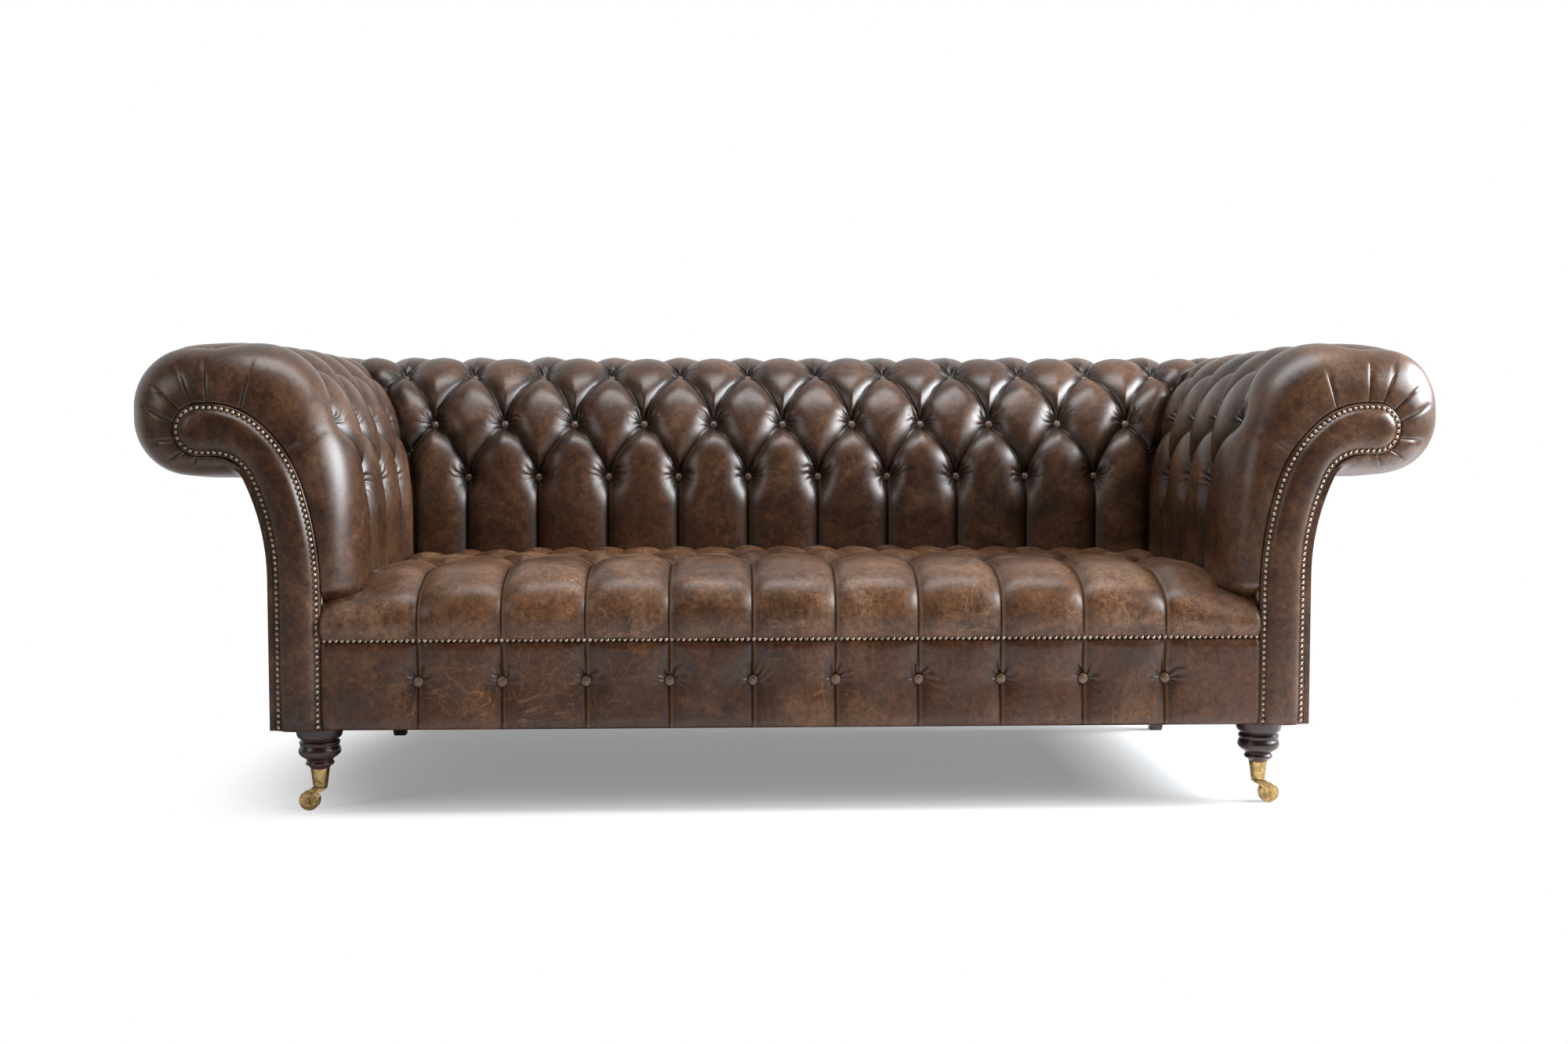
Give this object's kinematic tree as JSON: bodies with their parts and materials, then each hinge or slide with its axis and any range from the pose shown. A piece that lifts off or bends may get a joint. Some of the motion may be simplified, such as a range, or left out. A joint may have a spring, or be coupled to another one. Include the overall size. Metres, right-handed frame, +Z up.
{
  "type": "sofa",
  "caption": "Chesterfield sofa for three with a deep-buttoned back, rolled arms and seat, scroll arm fronts edged with nails, and turned front legs on brass castors.",
  "frame": {"origin": "on the floor, in the middle of the outline seen from above", "axes": "+X to the viewer's right when facing the sofa (the sitter's left), +Y towards the back, +Z up"},
  "size_m": [2.2212, 0.9276, 0.7909],
  "materials": {
    "padded_leather": "satin",
    "button_leather": "satin",
    "panel_leather": "satin",
    "frame_wood": "matte",
    "leg_wood": "gloss",
    "brass": "satin",
    "webbing": "matte",
    "hessian": "matte",
    "black_cloth": "matte"
  },
  "bodies": {
    "sofa": {"back_buttons": "button_leather", "back_pad": "padded_leather", "back_rail": "frame_wood", "back_stays": "frame_wood", "back_tack_rail": "frame_wood", "back_top_rail": "frame_wood", "border_buttons": "button_leather", "castor_cups": "brass", "castor_pins": "brass", "corner_blocks": "frame_wood", "dust_cover": "black_cloth", "front_border_pad": "padded_leather", "front_legs": "leg_wood", "front_rail": "frame_wood", "left_arm_buttons": "button_leather", "left_arm_front_board": "frame_wood", "left_arm_pad": "padded_leather", "left_arm_rear_board": "frame_wood", "left_arm_tack_rail": "frame_wood", "left_arm_top_rail": "frame_wood", "left_facing": "panel_leather", "left_outside_arm_panel": "panel_leather", "left_rear_leg": "leg_wood", "left_side_rail": "frame_wood", "outside_back_panel": "panel_leather", "right_arm_buttons": "button_leather", "right_arm_front_board": "frame_wood", "right_arm_pad": "padded_leather", "right_arm_rear_board": "frame_wood", "right_arm_tack_rail": "frame_wood", "right_arm_top_rail": "frame_wood", "right_facing": "panel_leather", "right_outside_arm_panel": "panel_leather", "right_rear_leg": "leg_wood", "right_side_rail": "frame_wood", "seat_buttons": "button_leather", "seat_cross_rails": "frame_wood", "seat_cross_webbing": "webbing", "seat_hessian": "hessian", "seat_pad": "padded_leather", "seat_webbing": "webbing"},
    "left_castor_horn": {"left_castor_horn": "brass", "left_castor_axle": "brass"},
    "left_castor_wheel": {"left_castor_wheel": "brass"},
    "right_castor_horn": {"right_castor_horn": "brass", "right_castor_axle": "brass"},
    "right_castor_wheel": {"right_castor_wheel": "brass"}
  },
  "joints": [
    {"name": "left_castor_swivel", "type": "hinge", "parent": "sofa", "child": "left_castor_horn", "pos_m": [-0.805, -0.4118, 0.041], "axis": [0, 0, 1], "continuous": true},
    {"name": "left_wheel_spin", "type": "hinge", "parent": "left_castor_horn", "child": "left_castor_wheel", "pos_m": [-0.823, -0.4118, 0.017], "axis": [0, 1, 0], "continuous": true},
    {"name": "right_castor_swivel", "type": "hinge", "parent": "sofa", "child": "right_castor_horn", "pos_m": [0.805, -0.4118, 0.041], "axis": [0, 0, 1], "continuous": true},
    {"name": "right_wheel_spin", "type": "hinge", "parent": "right_castor_horn", "child": "right_castor_wheel", "pos_m": [0.823, -0.4118, 0.017], "axis": [0, 1, 0], "continuous": true}
  ]
}
